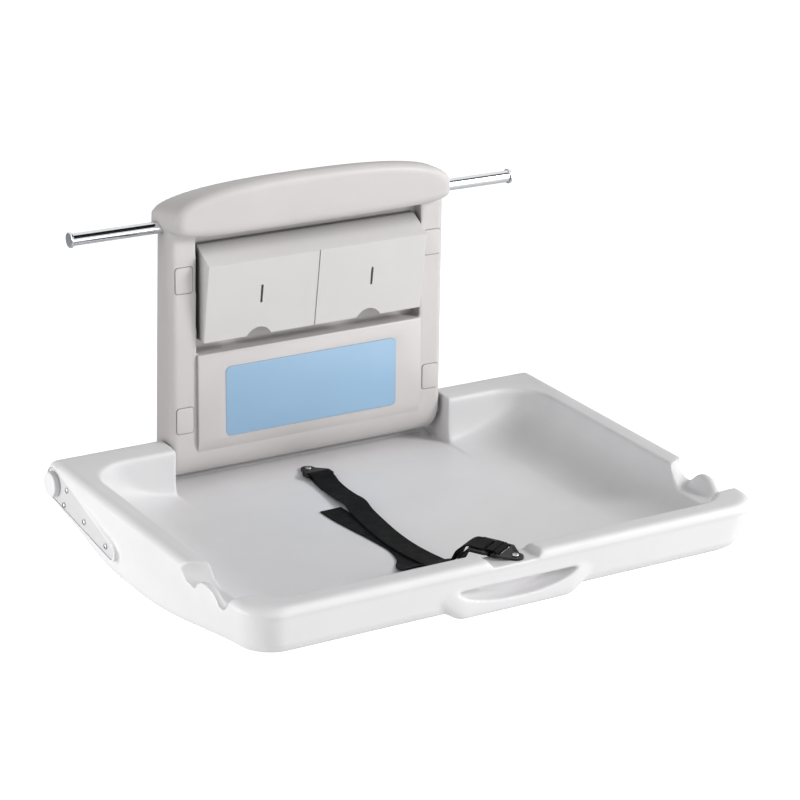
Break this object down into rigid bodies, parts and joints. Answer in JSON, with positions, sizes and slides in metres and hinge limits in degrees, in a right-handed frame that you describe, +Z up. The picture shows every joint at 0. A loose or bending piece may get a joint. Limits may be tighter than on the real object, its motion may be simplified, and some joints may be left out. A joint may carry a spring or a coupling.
{
  "type": "baby changing station",
  "caption": "Wall-mounted baby changing station: a moulded tray bed that folds up on a hinge against a back panel with a liner dispenser, a hanging rod and a safety strap.",
  "frame": {"origin": "on the wall, in the middle of the back of the steel wall plate", "axes": "+X to the right along the wall, +Y into the wall, +Z up"},
  "size_m": [0.8892, 0.65, 0.533],
  "materials": {
    "panel": "fine moulded grain, warm light grey",
    "bed": "fine moulded grain, off-white",
    "cover": "satin moulded, light grey",
    "label": "printed sheet, light blue",
    "chrome": "polished",
    "steel": "zinc plated",
    "painted": "white powder coat",
    "black": "moulded nylon",
    "webbing": "woven nylon webbing",
    "rubber": "matt"
  },
  "bodies": {
    "station": {"wall_plate": "steel", "back_panel": "panel", "screw_cover_upper_left": "panel", "screw_cover_upper_right": "panel", "screw_cover_lower_left": "panel", "screw_cover_lower_right": "panel", "label_plate": "label", "hanging_rod": "chrome", "rod_cap_left": "chrome", "rod_cap_right": "chrome", "shaft_bush_left": "black", "shaft_bush_right": "black", "rotary_damper_left": "steel", "rotary_damper_right": "steel"},
    "dispenser": {"dispenser_cover": "cover"},
    "bed": {"bed_tray": "bed", "hinge_shaft": "steel", "hinge_arm_left": "painted", "hinge_arm_right": "painted", "pivot_nut_left": "steel", "pivot_nut_right": "steel", "pivot_cap_left": "bed", "pivot_cap_right": "bed", "stop_bumper_left": "rubber", "stop_bumper_right": "rubber", "arm_screw_hub_upper_left": "steel", "arm_screw_hub_lower_left": "steel", "arm_screw_middle_left": "steel", "arm_screw_tip_left": "steel", "arm_screw_hub_upper_right": "steel", "arm_screw_hub_lower_right": "steel", "arm_screw_middle_right": "steel", "arm_screw_tip_right": "steel", "strap_anchor_rear": "black", "strap_anchor_front": "black", "anchor_screw_rear": "steel", "anchor_screw_front": "steel", "strap_buckle": "black", "strap_loop_front": "webbing", "strap_webbing": "webbing"}
  },
  "joints": [
    {"name": "bed_fold", "type": "hinge", "parent": "station", "child": "bed", "pos_m": [0, -0.038, -0.162], "axis": [-1, 0, 0], "range_deg": [0, 90]},
    {"name": "dispenser_lift", "type": "slide", "parent": "station", "child": "dispenser", "axis": [0, 0, 1], "range_m": [0, 0.01]}
  ]
}
